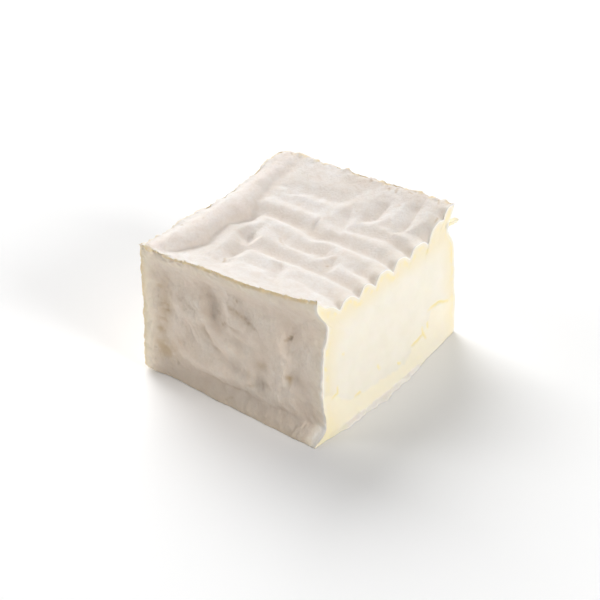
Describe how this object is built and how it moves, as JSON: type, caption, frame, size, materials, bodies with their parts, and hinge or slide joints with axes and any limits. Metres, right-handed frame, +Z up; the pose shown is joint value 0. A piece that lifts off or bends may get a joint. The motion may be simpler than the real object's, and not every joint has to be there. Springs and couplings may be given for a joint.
{
  "type": "goat cheese piece cut from a brick-shaped log",
  "caption": "End piece of a brick-shaped goat cheese log, with a wrinkled white bloomy rind, raised edges and one cut face that shows a yellow ripened layer around a chalky core.",
  "frame": {"origin": "on the base, under the middle of the piece's box", "axes": "+Z up from the base; +X along the log, towards the cut face; +Y across the log, away from the front rind face"},
  "size_m": [0.067, 0.0778, 0.0455],
  "materials": {
    "cheese": "matt, velvety white rind over a moist ivory paste"
  },
  "bodies": {
    "root": {"goat_cheese_piece": "cheese"}
  },
  "joints": []
}
